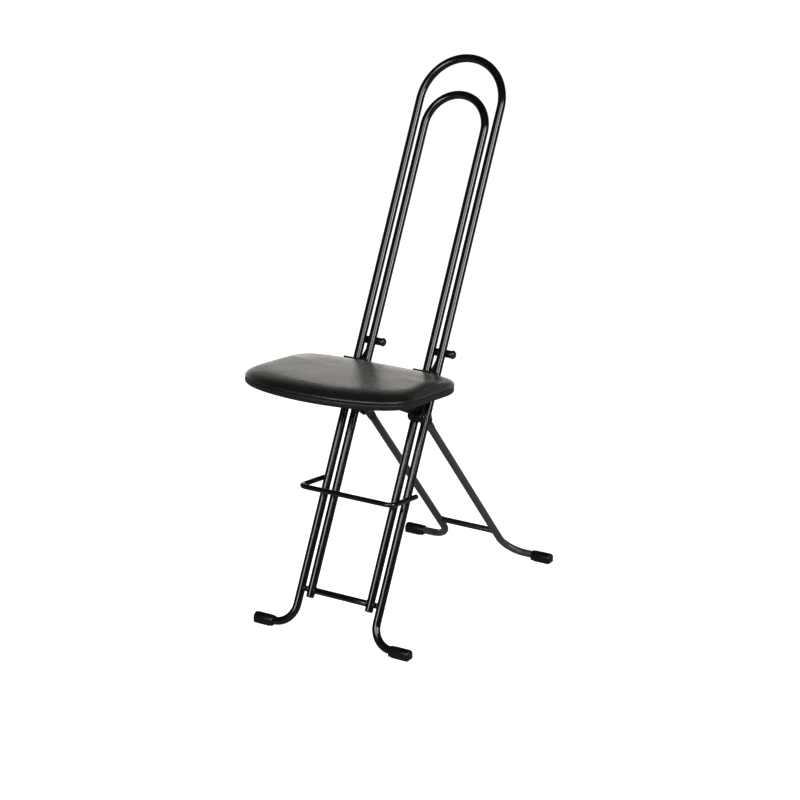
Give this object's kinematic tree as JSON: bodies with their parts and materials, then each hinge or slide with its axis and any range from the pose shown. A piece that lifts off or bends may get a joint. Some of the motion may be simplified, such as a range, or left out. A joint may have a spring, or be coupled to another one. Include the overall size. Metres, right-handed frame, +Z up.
{
  "type": "folding work chair",
  "caption": "Folding work chair with a leaning double-hairpin tube frame, a small padded seat that slides on the frame, a foot rail and folding rear legs.",
  "frame": {"origin": "centre of the footprint's bounding box, on the floor", "axes": "+Z up, the chair faces -Y, +X is to the right seen from the front"},
  "size_m": [0.355, 0.6582, 1.039],
  "materials": {
    "black_powder_coat": "gloss powder coat",
    "rear_leg_coat": "satin dark grey coat",
    "bracket_coat": "satin black coat",
    "foot_rubber": "matte",
    "plug_plastic": "matte",
    "dull_zinc": "dull",
    "black_fastener": "black oxide",
    "sleeve_plastic": "satin",
    "black_leatherette": "satin leatherette",
    "board_wrap": "covered in black leatherette"
  },
  "bodies": {
    "frame": {"outer_frame_tube": "black_powder_coat", "inner_frame_tube": "black_powder_coat", "lower_crossbar": "black_powder_coat", "slot_spacer_left": "black_powder_coat", "slot_spacer_right": "black_powder_coat", "inner_tube_plug_left": "plug_plastic", "inner_tube_plug_right": "plug_plastic", "front_foot_left": "foot_rubber", "front_foot_right": "foot_rubber", "foot_rail": "black_powder_coat", "pivot_bracket_left": "bracket_coat", "pivot_bracket_right": "bracket_coat", "pivot_bolt_left": "dull_zinc", "pivot_bolt_right": "dull_zinc", "pivot_nut_left": "dull_zinc", "pivot_nut_right": "dull_zinc"},
    "rear_legs": {"rear_leg_left": "rear_leg_coat", "rear_leg_right": "rear_leg_coat", "rear_crossbar": "rear_leg_coat", "rear_foot_left": "foot_rubber", "rear_foot_right": "foot_rubber"},
    "seat": {"seat_pad": "black_leatherette", "seat_board": "board_wrap", "seat_bracket_left": "bracket_coat", "seat_bracket_right": "bracket_coat", "seat_screw_front_left": "dull_zinc", "seat_screw_front_right": "dull_zinc", "seat_screw_rear_left": "dull_zinc", "seat_screw_rear_right": "dull_zinc", "upper_guide_bolt_left": "black_fastener", "upper_guide_nut_left": "black_fastener", "upper_sleeve_a_left": "sleeve_plastic", "upper_sleeve_b_left": "sleeve_plastic", "upper_guide_bolt_right": "black_fastener", "upper_guide_nut_right": "black_fastener", "upper_sleeve_a_right": "sleeve_plastic", "upper_sleeve_b_right": "sleeve_plastic", "lower_guide_bolt_left": "black_fastener", "lower_guide_nut_left": "black_fastener", "lower_sleeve_a_left": "sleeve_plastic", "lower_sleeve_b_left": "sleeve_plastic", "lower_guide_bolt_right": "black_fastener", "lower_guide_nut_right": "black_fastener", "lower_sleeve_a_right": "sleeve_plastic", "lower_sleeve_b_right": "sleeve_plastic"}
  },
  "joints": [
    {"name": "seat_height_slide", "type": "slide", "parent": "frame", "child": "seat", "axis": [0, 0.4435, 0.8963], "range_m": [0, 0.3]},
    {"name": "rear_leg_fold", "type": "hinge", "parent": "frame", "child": "rear_legs", "pos_m": [0, -0.00451, 0.38607], "axis": [-1, 0, 0], "range_deg": [0, 66]}
  ]
}
